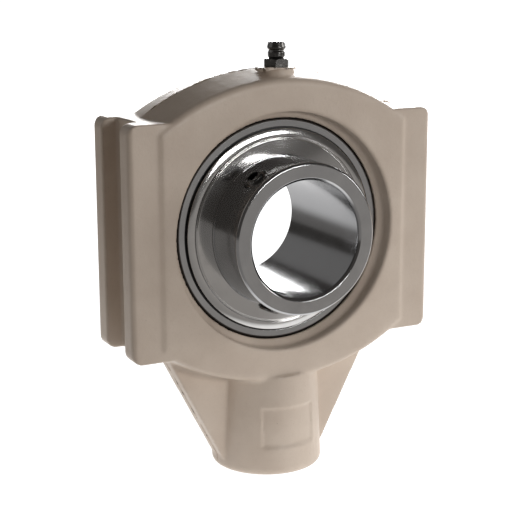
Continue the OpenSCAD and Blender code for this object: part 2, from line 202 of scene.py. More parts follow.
def makeGroundSteel():
    steel = Finish("groundSteel", 0.26, 1.0)
    turned = steel.roundBore()
    radius = steel.node("ShaderNodeSeparateXYZ", {}, {0: turned})["X"]
    lines = steel.noise(groundSteel["line"], 1, turned)
    haze = steel.ramp(steel.noise(groundSteel["smear"], 4), *groundSteel["hazy"])
    bore = steel.ramp(radius, *groundSteel["boreR"])
    rim = steel.ramp(radius, *groundSteel["rimR"])  # painted shade: the outer ring's outer edge darkened where it meets the housing
    colour = steel.mix(0.55 * haze + 0.2 * lines, groundSteel["bright"], groundSteel["dull"])
    colour = steel.mix(rim, steel.mix(bore, colour, groundSteel["bore"]), groundSteel["rim"])
    steel.feed("Base Color", colour)
    steel.feed("Roughness", 0.09 + 0.03 * lines + 0.05 * haze + 0.07 * bore + 0.4 * rim)
    return steel.material


flingerSteel = {"bright": tint(0.62, 0.61, 0.6), "dull": tint(0.5, 0.49, 0.48), "line": 0.9 * mm,
                "smear": 7 * mm, "smeared": (0.45, 0.8)}


def makeFlingerSteel():
    steel = Finish("flingerSteel", 0.14, 1.0)
    lines = steel.noise(flingerSteel["line"], 1, steel.roundBore())
    smear = steel.ramp(steel.noise(flingerSteel["smear"], 5), *flingerSteel["smeared"])
    colour = steel.mix(0.6 * smear + 0.2 * lines, flingerSteel["bright"], flingerSteel["dull"])
    steel.feed("Base Color", colour)
    steel.feed("Roughness", 0.09 + 0.03 * lines + 0.06 * smear)
    return steel.material


blackSteel = {"oxide": tint(0.1, 0.096, 0.092), "worn": tint(0.26, 0.25, 0.24), "grain": 0.35 * mm,
              "rub": 2.2 * mm, "rubbed": (0.52, 0.78), "rubDepth": 0.7, "relief": 0.003 * mm}


def makeBlackSteel():
    oxide = Finish("blackSteel", 0.36, 0.9)
    grain = oxide.noise(blackSteel["grain"], 4)
    rub = oxide.ramp(oxide.noise(blackSteel["rub"], 5), *blackSteel["rubbed"])
    colour = oxide.mix(rub * blackSteel["rubDepth"], blackSteel["oxide"], blackSteel["worn"])
    oxide.feed("Base Color", colour)
    oxide.feed("Roughness", 0.17 + 0.12 * grain + 0.08 * rub)
    oxide.bump(grain, blackSteel["relief"])
    return oxide.material


sealRubber = {"black": tint(0.012, 0.012, 0.013), "dusty": tint(0.035, 0.033, 0.031), "dust": 3 * mm,
              "dusted": (0.4, 0.8), "grain": 0.25 * mm, "relief": 0.008 * mm}


def makeSealRubber():
    rubber = Finish("sealRubber", 0.55)
    dust = rubber.noise(sealRubber["dust"], 5)
    dusted = rubber.ramp(dust, *sealRubber["dusted"])
    rubber.feed("Base Color", rubber.mix(dusted, sealRubber["black"], sealRubber["dusty"]))
    rubber.feed("Roughness", 0.45 + 0.25 * dust)
    rubber.bump(rubber.noise(sealRubber["grain"], 3), sealRubber["relief"])
    return rubber.material


pressedSteel = {"bright": tint(0.52, 0.515, 0.5), "oily": tint(0.34, 0.32, 0.28), "oil": 5 * mm,
                "oiled": (0.4, 0.75), "grain": 0.3 * mm, "relief": 0.006 * mm}


def makePressedSteel():
    sheet = Finish("pressedSteel", 0.32, 1.0)
    oil = sheet.ramp(sheet.noise(pressedSteel["oil"], 4), *pressedSteel["oiled"])
    grain = sheet.noise(pressedSteel["grain"], 3)
    sheet.feed("Base Color", sheet.mix(oil, pressedSteel["bright"], pressedSteel["oily"]))
    sheet.feed("Roughness", 0.22 + 0.2 * grain - 0.06 * oil)
    sheet.bump(grain, pressedSteel["relief"])
    return sheet.material


ballSteel = {"bright": tint(0.74, 0.74, 0.745), "oily": tint(0.6, 0.58, 0.54), "film": 2 * mm,
             "filmed": (0.45, 0.8)}


def makeBallSteel():
    ball = Finish("ballSteel", 0.07, 1.0)
    film = ball.noise(ballSteel["film"], 3)
    filmed = ball.ramp(film, *ballSteel["filmed"])
    ball.feed("Base Color", ball.mix(filmed, ballSteel["bright"], ballSteel["oily"]))
    ball.feed("Roughness", 0.05 + 0.08 * film)
    return ball.material


cutIron = {"bright": tint(0.36, 0.35, 0.34), "dark": tint(0.16, 0.15, 0.14), "grain": 0.4 * mm,
           "stain": 6 * mm, "stained": (0.4, 0.75), "stainDepth": 0.8, "relief": 0.02 * mm}


def makeCutIron():
    iron = Finish("cutIron", 0.4, 0.9)
    grain = iron.noise(cutIron["grain"], 4)
    stain = iron.ramp(iron.noise(cutIron["stain"], 4), *cutIron["stained"])
    iron.feed("Base Color", iron.mix(stain * cutIron["stainDepth"], cutIron["bright"], cutIron["dark"]))
    iron.feed("Roughness", 0.3 + 0.2 * grain + 0.1 * stain)
    iron.bump(grain, cutIron["relief"])
    return iron.material


finishes = {
    "cast_housing": makeCastPaint("castPaint", nicks=0.0),
    "ring_steel": makeGroundSteel(),
    "flinger_steel": makeFlingerSteel(),
    "black_steel": makeBlackSteel(),
    "seal_rubber": makeSealRubber(),
    "pressed_steel": makePressedSteel(),
    "ball_steel": makeBallSteel(),
}
finPaint = makeCastPaint("finPaint", nicks=0.9)
ironFinish = makeCutIron()
for part in frame["record"]["subparts"]:
    solid = nodes[part["node"]]
    solid.data.materials.clear()
    solid.data.materials.append(finishes[part["material_slot"]])
print("finishes made")


# Mesh tools

def link(name, mesh):
    made = bpy.data.objects.new(name, mesh)
    bpy.context.scene.collection.objects.link(made)
    return made


def settle(made, body, slot, replaced=(), finish=None):  # finish a piece and hang it on its body
    made.data.materials.clear()
    made.data.materials.append(finish or finishes[slot])
    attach(made, body)
    if replaced:
        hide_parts(*replaced)
    return made


def flatten(made, name):  # modifiers become a plain mesh
    shaped = made.evaluated_get(bpy.context.evaluated_depsgraph_get())
    mesh = bpy.data.meshes.new_from_object(shaped)
    mesh.name = name
    made.modifiers.clear()
    made.data = mesh
    made.name = name
    return made


def smooth(mesh, degrees=30):
    mesh.shade_smooth()
    mesh.set_sharp_from_angle(angle=math.radians(degrees))


def arc(centre, radius, start, stop, steps):  # plain points of a round stretch of a profile
    turns = np.radians(np.linspace(start, stop, steps + 1))
    return [(centre[0] + radius * math.cos(a), centre[1] + radius * math.sin(a), 0) for a in turns]


def easeCorners(corners, steps=4, hold=0.04, share=0.45):  # radius, height and rounding in millimetres
    points = []
    count = len(corners)
    for i, (r, h, rounding) in enumerate(corners):
        here = Vector((r, h))
        if rounding == 0:
            points.append(here)
            continue
        before = Vector(corners[i - 1][:2]) - here
        after = Vector(corners[(i + 1) % count][:2]) - here
        reach = min(rounding, share * before.length, share * after.length)
        first = here + before.normalized() * reach
        last = here + after.normalized() * reach
        points.append(first + before.normalized() * hold)
        for k in range(steps + 1):
            t = k / steps
            points.append(first * (1 - t) ** 2 + here * 2 * t * (1 - t) + last * t ** 2)
        points.append(last + after.normalized() * hold)
    return [(p.x * mm, p.y * mm) for p in points]


def lathe(name, corners, segments=240):  # closed ring, or a solid where the profile touches the axis
    profile = easeCorners(corners)
    shape = bmesh.new()
    rings = []
    for r, h in profile:
        if r < 1e-7:
            rings.append([shape.verts.new((0, 0, h))] * segments)
            continue
        turns = [2 * math.pi * k / segments for k in range(segments)]
        rings.append([shape.verts.new((r * math.cos(a), r * math.sin(a), h)) for a in turns])
    for i, ring in enumerate(rings):
        other = rings[(i + 1) % len(rings)]
        for k in range(segments):
            n = (k + 1) % segments
            loop = list(dict.fromkeys((ring[k], ring[n], other[n], other[k])))
            if len(loop) > 2:
                shape.faces.new(loop)
    bmesh.ops.recalc_face_normals(shape, faces=shape.faces)
    mesh = bpy.data.meshes.new(name)
    shape.to_mesh(mesh)
    shape.free()
    return mesh


def cut(made, tool, operation="DIFFERENCE"):
    trim = made.modifiers.new("trim", "BOOLEAN")
    trim.operation = operation
    trim.solver = "EXACT"
    trim.object = tool
    bpy.context.view_layer.update()
    flatten(made, made.name)
    bpy.data.objects.remove(tool)
    return made


def prism(name, flats, low, high, turn=0):  # six-sided bar along Z, sizes in millimetres
    shape = bmesh.new()
    spin = Matrix.Rotation(math.radians(turn), 4, "Z")
    reach = flats / 2 / math.cos(math.radians(30)) * mm
    lift = Matrix.Translation((0, 0, (low + high) / 2 * mm))
    bmesh.ops.create_cone(shape, cap_ends=True, segments=6, radius1=reach, radius2=reach,
                          depth=(high - low) * mm, matrix=lift @ spin)
    mesh = bpy.data.meshes.new(name)
    shape.to_mesh(mesh)
    shape.free()
    return link(name, mesh)


def fuse(name, *meshes):  # several meshes as one
    shape = bmesh.new()
    for mesh in meshes:
        shape.from_mesh(mesh)
    joined = bpy.data.meshes.new(name)
    shape.to_mesh(joined)
    shape.free()
    return joined


# Geometry Nodes

class Recipe:  # a geometry node tree with named inputs
    def __init__(self, name, takesMesh=False):
        self.tree = bpy.data.node_groups.new(name, "GeometryNodeTree")
        self.tree.interface.new_socket("Geometry", in_out="OUTPUT", socket_type="NodeSocketGeometry")
        if takesMesh:
            self.tree.interface.new_socket("Geometry", in_out="INPUT", socket_type="NodeSocketGeometry")
        self.source = self.tree.nodes.new("NodeGroupInput")
        self.values = {}

    def size(self, label, value):
        kind = "NodeSocketInt" if isinstance(value, int) else "NodeSocketFloat"
        socket = self.tree.interface.new_socket(label, in_out="INPUT", socket_type=kind)
        self.values[socket.identifier] = value
        return self.source.outputs[label]

    def node(self, kind, settings=None, inputs=None):
        made = self.tree.nodes.new(kind)
        for label, value in (settings or {}).items():
            setattr(made, label, value)
        for label, value in (inputs or {}).items():
            if isinstance(value, bpy.types.NodeSocket):
                self.tree.links.new(value, made.inputs[label])
            else:
                made.inputs[label].default_value = value
        return [socket for socket in made.outputs if socket.enabled]

    def maths(self, operation, first, second):
        return self.node("ShaderNodeMath", {"operation": operation}, {0: first, 1: second})[0]

    def make(self, name, shape, finish, mesh=None):  # run the tree once and keep a plain mesh
        real = self.node("GeometryNodeRealizeInstances", {}, {0: shape})[0]
        painted = self.node("GeometryNodeSetMaterial", {}, {"Geometry": real, "Material": finish})[0]
        self.tree.links.new(painted, self.tree.nodes.new("NodeGroupOutput").inputs[0])
        made = link(name, mesh or bpy.data.meshes.new(name))
        grow = made.modifiers.new("recipe", "NODES")
        grow.node_group = self.tree
        for identifier, value in self.values.items():
            grow[identifier] = value
        bpy.context.view_layer.update()
        return flatten(made, name)


def threadRidge(name, sizes, finish):  # one helical ridge round the Z axis
    recipe = Recipe(name + "Tree")
    radius = recipe.size("Radius", sizes["radius"])
    helix = recipe.node("GeometryNodeCurveSpiral", {}, {
        "Resolution": 48, "Rotations": recipe.size("Turns", sizes["turns"]), "Start Radius": radius,
        "End Radius": radius, "Height": recipe.size("Length", sizes["length"])})[0]
    upright = recipe.node("GeometryNodeSetCurveNormal", {"mode": "Z_UP"}, {"Curve": helix})[0]
    ridge = recipe.node("GeometryNodeCurvePrimitiveCircle", {}, {
        "Resolution": 4, "Radius": recipe.size("Depth", sizes["depth"])})[0]
    swept = recipe.node("GeometryNodeCurveToMesh", {}, {
        "Curve": upright, "Profile Curve": ridge, "Fill Caps": True})[0]
    return recipe.make(name, swept, finish)


# Cast housing: the solid's own form with the soft edges and fillets of a casting

castHousing = {
    "grid": 0.55 * mm, "rounds": 3, "grip": 0.5, "weld": 0.001 * mm, "seatHalf": 10.75 * mm,
    "seatGap": 0.05 * mm, "seatBand": 0.9, "edgeReach": 6, "edgeScale": 0.16 * mm, "triangles": 170000,
}


def relax(points, edges, weight, rounds):  # move each point towards the mean of its neighbours
    count = len(points)
    ends = np.concatenate([edges[:, 0], edges[:, 1]])
    mates = np.concatenate([edges[:, 1], edges[:, 0]])
    degree = np.maximum(np.bincount(ends, minlength=count), 1)[:, None]
    for _ in range(rounds):
        total = np.stack([np.bincount(ends, points[mates, axis], count) for axis in range(3)], 1)
        points = points + weight[:, None] * (total / degree - points)
    return points


def makeHousing():
    raw = nodes["housing"].data.copy()
    shape = bmesh.new()
    shape.from_mesh(raw)
    bmesh.ops.remove_doubles(shape, verts=shape.verts, dist=castHousing["weld"])
    shape.to_mesh(raw)
    shape.free()
    made = link("castHousing", raw)
    grid = made.modifiers.new("grid", "REMESH")
    grid.mode = "VOXEL"
    grid.voxel_size = castHousing["grid"]
    flatten(made, "castHousing")
    mesh = made.data
    points = np.zeros(len(mesh.vertices) * 3)
    mesh.vertices.foreach_get("co", points)
    points = points.reshape(-1, 3)
    edges = np.zeros(len(mesh.edges) * 2, dtype=np.int64)
    mesh.edges.foreach_get("vertices", edges)
    edges = edges.reshape(-1, 2)
    reach = np.linalg.norm(points, axis=1)
    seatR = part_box("outer_ring")[1].x + castHousing["seatGap"]
    onSeat = np.abs(reach - seatR) < castHousing["seatBand"] * castHousing["grid"]
    onSeat &= np.abs(points[:, 1]) < castHousing["seatHalf"]
    weight = np.where(onSeat, 0.0, castHousing["grip"])
    soft = relax(points, edges, weight, castHousing["rounds"])
    soft[onSeat] *= (seatR / reach[onSeat])[:, None]
    spread = relax(soft, edges, np.full(len(soft), castHousing["grip"]), castHousing["edgeReach"])
    bend = np.linalg.norm(spread - soft, axis=1)
    mesh.vertices.foreach_set("co", soft.ravel())
    edge = mesh.attributes.new("edge", "FLOAT", "POINT")
    edge.data.foreach_set("value", np.clip(bend / castHousing["edgeScale"], 0, 1).astype(np.float32))
    mesh.update()
    mesh.shade_smooth()
    thin = made.modifiers.new("thin", "DECIMATE")
    thin.ratio = castHousing["triangles"] / (2 * len(mesh.polygons))
    flatten(made, "castHousing")
    print("housing:", len(mesh.polygons), "faces thinned to", len(made.data.polygons))
    return settle(made, "housing", "cast_housing", ["housing"])


housing = makeHousing()


# Parting line: a thin ragged fin over the crown and down both edges of the web

partingFin = {
    "fat": 0.3 * mm, "rough": 0.75, "swell": 1.3, "ragged": (0.38, 0.62), "blotch": 260.0, "detail": 4.0,
    "seed": 4.0, "step": 0.6 * mm, "sink": 0.06 * mm, "crownHalf": 0.39, "crownRays": 90,
    "webTop": -39 * mm, "webEnd": 1.6 * mm, "webRays": 50,
}


def castHits(solid, starts, way):  # where rays from the starts meet the casting
    hits = []
    for start in starts:
        place = solid.ray_cast(Vector(start), Vector(way))[0]
        if place:
            hits.append(place + Vector(way) * partingFin["sink"])
    return hits


def makePartingPath():  # three open runs of points on the casting
    solid = BVHTree.FromObject(housing, bpy.context.evaluated_depsgraph_get())
    low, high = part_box("housing")
    far = 2 * high.z
    half = partingFin["crownHalf"]
    across = np.linspace(-half, half, partingFin["crownRays"]) * (high.x - low.x)
    down = np.linspace(partingFin["webTop"], low.z + partingFin["webEnd"], partingFin["webRays"])
    runs = [castHits(solid, [(x, 0, far) for x in across], (0, 0, -1))]
    runs += [castHits(solid, [(side * far, 0, z) for z in down], (-side, 0, 0)) for side in (-1, 1)]
    edges = []
    start = 0
    for run in runs:
        edges += [(start + i, start + i + 1) for i in range(len(run) - 1)]
        start += len(run)
    path = bpy.data.meshes.new("partingPath")
    path.from_pydata([p for run in runs for p in run], edges, [])
    return path


def makePartingFin():
    recipe = Recipe("partingFinTree", takesMesh=True)
    line = recipe.node("GeometryNodeMeshToCurve", {}, {0: recipe.source.outputs["Geometry"]})[0]
    line = recipe.node("GeometryNodeResampleCurve", {"mode": "LENGTH"}, {
        "Curve": line, "Length": recipe.size("Step", partingFin["step"])})[0]
    noise = recipe.node("ShaderNodeTexNoise", {"noise_dimensions": "4D"}, {
        "W": recipe.size("Seed", partingFin["seed"]), "Scale": recipe.size("Blotch", partingFin["blotch"]),
        "Detail": partingFin["detail"]})[0]
    thinnest = recipe.maths("SUBTRACT", 1.0, recipe.size("Rough", partingFin["rough"]))
    low, high = partingFin["ragged"]
    swell = recipe.node("ShaderNodeMapRange", {}, {
        0: noise, 1: low, 2: high, 3: thinnest, 4: partingFin["swell"]})[0]
    fat = recipe.maths("MULTIPLY", swell, recipe.size("Fat", partingFin["fat"]))
    rod = recipe.node("GeometryNodeCurvePrimitiveCircle", {}, {"Resolution": 8, "Radius": 1.0})[0]
    swept = recipe.node("GeometryNodeCurveToMesh", {}, {
        "Curve": line, "Profile Curve": rod, "Scale": fat, "Fill Caps": True})[0]
    fin = recipe.make("partingFin", swept, finPaint, makePartingPath())
    fin.data.shade_smooth()
    return settle(fin, "housing", "cast_housing", finish=finPaint)


makePartingFin()
print("parting line done")


# Spindle thread in the boss

spindleThread = {"pitch": 3 * mm, "depth": 1.5 * mm, "inset": 1.6 * mm, "bite": 0.15 * mm}


def makeSpindleThread():
    hole = mounts["spindle_thread"]["dims"]
    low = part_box("housing")[0].z
    length = hole["length_mm"] * mm - 2 * spindleThread["inset"]
    ridge = threadRidge("spindleThread", {
        "radius": hole["r_mm"] * mm + spindleThread["bite"], "turns": length / spindleThread["pitch"],
        "length": length, "depth": spindleThread["depth"]}, ironFinish)
    ridge.data.transform(Matrix.Translation((0, 0, low + 2 * spindleThread["inset"])))
    smooth(ridge.data)
    return settle(ridge, "housing", "cast_housing", finish=ironFinish)


makeSpindleThread()


# Bearing rings, sizes in millimetres

bearing = {"pitchR": 30.0, "raceR": 6.604, "raceShift": 0.154, "raceSteps": 20, "landH": 12.8, "crease": 24}


def raceHalf(offset):  # half the angle of a race whose centre is this far from the land beside it
    return math.degrees(math.acos(offset / bearing["raceR"]))


def screwPlace(name):  # local Z runs outwards along the screw, from the bore axis
    low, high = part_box(name)
    way = Vector(joints[name + "_travel"]["axis"]).normalized()
    turn = way.to_track_quat("Z", "Y").to_matrix().to_4x4()
    return Matrix.Translation((0, (low.y + high.y) / 2, 0)) @ turn


innerRing = {
    "collarStep": 0.3, "chamfer": 0.7, "boreChamfer": 0.9, "edge": 0.16, "stepEdge": 0.05, "landEdge": 0.1,
    "rows": 16, "rowGap": 1, "screwHoleR": 4.05, "sinkR": 4.45, "sinkDepth": 0.4, "sinkRise": 0.1,
    "drillIn": 4, "drillOut": 3, "drillSides": 64,
}


def makeInnerRing():
    low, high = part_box("inner_ring")
    boreR = mounts["shaft_bore"]["dims"]["r_mm"]
    landR = high.x / mm
    collarR = landR - innerRing["collarStep"]
    front = -low.y / mm
    rear = -high.y / mm
    edge = innerRing["edge"]
    stepEdge = innerRing["stepEdge"]
    landEdge = innerRing["landEdge"]
    bevel = innerRing["chamfer"]
    lead = innerRing["boreChamfer"]
    landH = bearing["landH"]
    raceX = bearing["pitchR"] + bearing["raceShift"]
    half = raceHalf(raceX - landR)
    race = arc((raceX, 0), bearing["raceR"], 180 + half, 180 - half, bearing["raceSteps"])
    rows = np.linspace(landH + innerRing["rowGap"], front - bevel - innerRing["rowGap"], innerRing["rows"])
    corners = [
        (boreR, rear + lead, edge), (boreR + lead, rear, edge), (collarR - bevel, rear, edge),
        (collarR, rear + bevel, edge), (collarR, -landH, stepEdge), (landR, -landH, landEdge),
        *race, (landR, landH, landEdge), (collarR, landH, stepEdge),
        *[(collarR, h, 0) for h in rows],
        (collarR, front - bevel, edge), (collarR - bevel, front, edge),
        (boreR + lead, front, edge), (boreR, front - lead, edge),
        *[(boreR, h, 0) for h in rows[::-1]],
    ]
    mesh = lathe("innerRing", corners)
    mesh.transform(boreAxisTurn)
    ring = link("innerRing", mesh)
    for name in ("set_screw_1", "set_screw_2"):
        cut(ring, makeDrill(name, boreR, collarR))
    smooth(ring.data, bearing["crease"])
    return settle(ring, "inner", "ring_steel", ["inner_ring"])


def makeDrill(name, boreR, collarR):  # threaded hole of a set screw with a small countersink
    holeR = innerRing["screwHoleR"]
    sinkR = innerRing["sinkR"]
    foot = boreR - innerRing["drillIn"]
    top = collarR + innerRing["drillOut"]
    sink = math.sqrt(collarR ** 2 - holeR ** 2) - innerRing["sinkDepth"]
    mesh = lathe("drill", [
        (0, foot, 0), (holeR, foot, 0), (holeR, sink, 0), (sinkR, collarR + innerRing["sinkRise"], 0),
        (sinkR, top, 0), (0, top, 0)], innerRing["drillSides"])
    mesh.transform(screwPlace(name))
    return link("drill", mesh)


outerRing = {
    "shoulder": 3.6, "run": 0.05, "chamfer": 0.6, "edge": 0.08, "grooveLow": 5.6, "grooveHigh": 8.2,
    "grooveDepth": 0.7, "grooveEdge": 0.2, "rimTilt": 1.4, "rimSteps": 4, "sphereSteps": 16,
}


def makeOuterRing():
    run = outerRing["run"]
    edge = outerRing["edge"]
    plateLow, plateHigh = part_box("front_seal_plate")
    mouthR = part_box("front_seal_lip")[1].x / mm + run
    gripR = plateHigh.x / mm + run
    plateFront = -plateLow.y / mm + run
    plateBack = -plateHigh.y / mm - run
    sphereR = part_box("outer_ring")[1].x / mm
    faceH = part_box("outer_ring")[1].y / mm
    raceX = bearing["pitchR"] - bearing["raceShift"]
    shoulder = bearing["pitchR"] + outerRing["shoulder"]
    half = raceHalf(shoulder - raceX)
    heights = (outerRing["grooveLow"], outerRing["grooveHigh"], faceH)
    lowTilt, highTilt, faceTilt = [math.degrees(math.asin(h / sphereR)) for h in heights]
    floorR = sphereR * math.cos(math.radians((lowTilt + highTilt) / 2)) - outerRing["grooveDepth"]
    rimR = sphereR * math.cos(math.radians(faceTilt)) - outerRing["chamfer"]
    rearMouth, frontMouth = [
        [(rimR, side * faceH, edge), (mouthR, side * faceH, edge), (mouthR, side * plateFront, 0),
         (gripR, side * plateFront, 0), (gripR, side * plateBack, 0), (shoulder, side * plateBack, 0)]
        for side in (-1, 1)]
    race = arc((raceX, 0), bearing["raceR"], -half, half, bearing["raceSteps"])
    corners = [*rearMouth, *race, *frontMouth[::-1]]
    corners += arc((0, 0), sphereR, faceTilt - outerRing["rimTilt"], highTilt, outerRing["rimSteps"])
    corners += [(floorR, h, outerRing["grooveEdge"]) for h in heights[1::-1]]
    corners += arc((0, 0), sphereR, lowTilt, outerRing["rimTilt"] - faceTilt, outerRing["sphereSteps"])
    mesh = lathe("outerRing", corners)
    mesh.transform(boreAxisTurn)
    smooth(mesh, bearing["crease"])
    return settle(link("outerRing", mesh), "outer", "ring_steel", ["outer_ring"])


makeInnerRing()
makeOuterRing()


# Flingers: a round bevel at the rim, a pressed groove beside it, a low bead and a slightly dished disc

flinger = {
    "bevel": 2.6, "fall": 0.4, "step": 0.3, "sheet": 0.8, "edge": 0.14, "fit": 0.01,
    "rounds": (0.75, 0.5, 0.25), "crestEdge": 0.15, "groove": 0.45, "grooveWide": 0.3, "grooveEdge": 0.08,
    "bead": 0.2, "beadEdge": 0.1, "dish": 0.38,
}


def makeFlinger(side):
    low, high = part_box("front_flinger")
    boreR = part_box("inner_ring")[1].x / mm + flinger["fit"]
    front = -low.y / mm
    back = -high.y / mm
    rimR = high.x / mm
    crestR = rimR - flinger["bevel"]
    grooveR = crestR - flinger["step"]
    wide = flinger["grooveWide"]
    sheet = flinger["sheet"]
    edge = flinger["edge"]
    flat = front - flinger["step"]
    rim = front - flinger["fall"]
    floor = front - flinger["groove"]
    bead = front - flinger["bead"]
    corners = [
        (boreR, back, 0), (boreR + sheet, back, edge), (boreR + sheet, flat - sheet, edge),
        (grooveR, flat - sheet, edge), (crestR, front - sheet, edge), (rimR, rim - sheet, edge),
        (rimR, rim, edge),
    ]
    for t in flinger["rounds"]:
        corners.append((crestR + flinger["bevel"] * t, front - flinger["fall"] * t * t, 0))
    corners += [
        (crestR, front, flinger["crestEdge"]), (grooveR, floor, flinger["grooveEdge"]),
        (grooveR - wide, floor, flinger["grooveEdge"]), (grooveR - 2 * wide, bead, flinger["beadEdge"]),
        (boreR, bead + flinger["dish"], edge),
    ]
    name = "frontFlinger" if side > 0 else "rearFlinger"
    mesh = lathe(name, corners)
    mesh.transform(boreAxisTurn)
    if side < 0:
        mesh.transform(Matrix.Rotation(math.pi, 4, "X"))
    smooth(mesh, bearing["crease"])
    node = "front_flinger" if side > 0 else "rear_flinger"
    return settle(link(name, mesh), "inner", "flinger_steel", [node])


makeFlinger(1)
makeFlinger(-1)
print("rings and flingers done")


# Set screws

setScrew = {
    "tipR": 20.15, "length": 6.8, "coreR": 3.52, "crestR": 3.95, "pitch": 1.0, "point": 1.0,
    "pointEdge": 0.15, "topBevel": (0.25, 0.5), "bevelEdge": 0.1, "edge": 0.12, "socket": 4.0,
    "socketDepth": 3.4, "cutOver": 1, "threadFoot": 0.3, "threadTop": 0.6, "sides": 72,
}


def makeSetScrew(number):
    foot = setScrew["tipR"]
    top = foot + setScrew["length"]
    core = setScrew["coreR"]
    point = setScrew["point"]
    bevelIn, bevelDown = setScrew["topBevel"]
    body = link("core", lathe("core", [
        (0, foot, 0), (core - point, foot, setScrew["pointEdge"]),
        (core, foot + point, setScrew["bevelEdge"]), (core, top - bevelDown, setScrew["bevelEdge"]),
        (core - bevelIn, top, setScrew["edge"]), (0, top, 0)], setScrew["sides"]))
    cut(body, prism("socket", setScrew["socket"], top - setScrew["socketDepth"], top + setScrew["cutOver"]))
    length = setScrew["length"] - point - setScrew["threadFoot"] - setScrew["threadTop"]
    ridge = threadRidge("ridge", {
        "radius": core * mm, "turns": length / setScrew["pitch"], "length": length * mm,
        "depth": (setScrew["crestR"] - core) * mm}, finishes["black_steel"])
    ridge.data.transform(Matrix.Translation((0, 0, (foot + point + setScrew["threadFoot"]) * mm)))
    name = "setScrew%d" % number
    mesh = fuse(name, body.data, ridge.data)
    bpy.data.objects.remove(body)
    bpy.data.objects.remove(ridge)
    node = "set_screw_%d" % number
    mesh.transform(screwPlace(node))
    smooth(mesh)
    return settle(link(name, mesh), "screw_%d" % number, "black_steel", [node])


makeSetScrew(1)
makeSetScrew(2)


# Grease nipple

greaseNipple = {
    "hex": 8.0, "hexHeight": 2.8, "turn": 30, "headHeight": 5.6, "headR": 3.2, "tipR": 2.65, "neckR": 2.5,
    "collarR": 2.85, "shankR": 2.95, "root": 1, "mouthR": 0.9, "chamberR": 1.4, "roof": 1.6, "floor": 1.5,
    "shankEdge": 0.2, "collarEdge": 0.2, "neckEdge": 0.25, "headEdge": 0.4, "tipEdge": 0.25, "mouthEdge": 0.1,
    "footBevel": 0.35, "topBevel": (0.75, 0.55), "over": 0.1, "inside": 0.3, "stemSides": 72, "hexSides": 96,
}


def makeStem(foot, hexFoot, hexTop, top):
    neck = hexTop + greaseNipple["headHeight"] / 2
    lip = greaseNipple["headHeight"] / 8
    head = greaseNipple["headR"]
    neckR = greaseNipple["neckR"]
    collar = greaseNipple["collarR"]
    collarEdge = greaseNipple["collarEdge"]
    waist = collar - lip / 2
    shank = greaseNipple["shankR"]
    root = hexFoot + greaseNipple["root"]
    mouth = greaseNipple["mouthR"]
    chamber = greaseNipple["chamberR"]
    roof = top - greaseNipple["roof"]
    floor = foot + greaseNipple["floor"]
    return lathe("stem", [
        (mouth, foot, 0), (shank, foot, greaseNipple["shankEdge"]), (shank, root, 0), (waist, root, 0),
        (waist, hexTop, 0), (collar, hexTop + lip, collarEdge), (collar, neck - lip, collarEdge),
        (neckR, neck, greaseNipple["neckEdge"]), (head, neck + head - neckR, greaseNipple["headEdge"]),
        (greaseNipple["tipR"], top, greaseNipple["tipEdge"]), (mouth, top, greaseNipple["mouthEdge"]),
        (mouth, roof, 0), (chamber, roof, 0), (chamber, floor, 0), (mouth, floor, 0)],
        greaseNipple["stemSides"])


def makeHexBar(hexFoot, hexTop):  # spanner flats with turned corners
    bar = prism("bar", greaseNipple["hex"], hexFoot, hexTop, greaseNipple["turn"])
    corner = greaseNipple["hex"] / 2 / math.cos(math.radians(30))
    inside = greaseNipple["shankR"] - greaseNipple["inside"]
    over = greaseNipple["over"]
    footBevel = greaseNipple["footBevel"]
    bevelIn, bevelDown = greaseNipple["topBevel"]
    turned = lathe("turned", [
        (inside, hexFoot - over, 0), (corner - footBevel, hexFoot - over, 0),
        (corner + over, hexFoot + footBevel, 0), (corner + over, hexTop - bevelDown, 0),
        (corner - bevelIn, hexTop + over, 0), (inside, hexTop + over, 0)], greaseNipple["hexSides"])
    return cut(bar, link("turned", turned), "INTERSECT")


def makeNipple():
    low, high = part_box("nipple_body")
    top = high.z / mm
    hexTop = top - greaseNipple["headHeight"]
    hexFoot = hexTop - greaseNipple["hexHeight"]
    stem = makeStem(low.z / mm, hexFoot, hexTop, top)
    bar = makeHexBar(hexFoot, hexTop)
    mesh = fuse("greaseNipple", stem, bar.data)
    bpy.data.objects.remove(bar)
    mesh.transform(Matrix.Translation((0, (low.y + high.y) / 2, 0)))
    smooth(mesh)
    return settle(link("greaseNipple", mesh), "housing", "black_steel", ["nipple_body"])


makeNipple()


# Ragged paint rim round the nipple boss

paintRim = {
    "radius": 5.5 * mm, "flap": 1.2 * mm, "flapWay": 200, "flapSharp": 6, "wide": 1.6 * mm, "thick": 0.5 * mm,
    "wander": 0.5 * mm, "blotch": 240.0, "detail": 4.0, "seed": 9.0, "drop": 0.35 * mm, "steps": 160,
    "burr": 1.4, "ragged": (0.35, 0.65), "swell": (0.5, 1.2), "crease": 50,
}


def makeRimPath():  # closed loop that leans out to one side, with how far it leans kept on each point
    low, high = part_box("nipple_body")
    level = high.z - (greaseNipple["headHeight"] + greaseNipple["hexHeight"]) * mm - paintRim["drop"]
    points, leans = [], []
    for k in range(paintRim["steps"]):
        turn = 2 * math.pi * k / paintRim["steps"]
        lean = max(0.0, math.cos(turn - math.radians(paintRim["flapWay"]))) ** paintRim["flapSharp"]
        leans.append(lean)
        reach = paintRim["radius"] + paintRim["flap"] * lean
        points.append((reach * math.cos(turn), reach * math.sin(turn) + (low.y + high.y) / 2, level))
    path = bpy.data.meshes.new("rimPath")
    path.from_pydata(points, [(k, (k + 1) % len(points)) for k in range(len(points))], [])
    path.attributes.new("lean", "FLOAT", "POINT").data.foreach_set("value", leans)
    return path


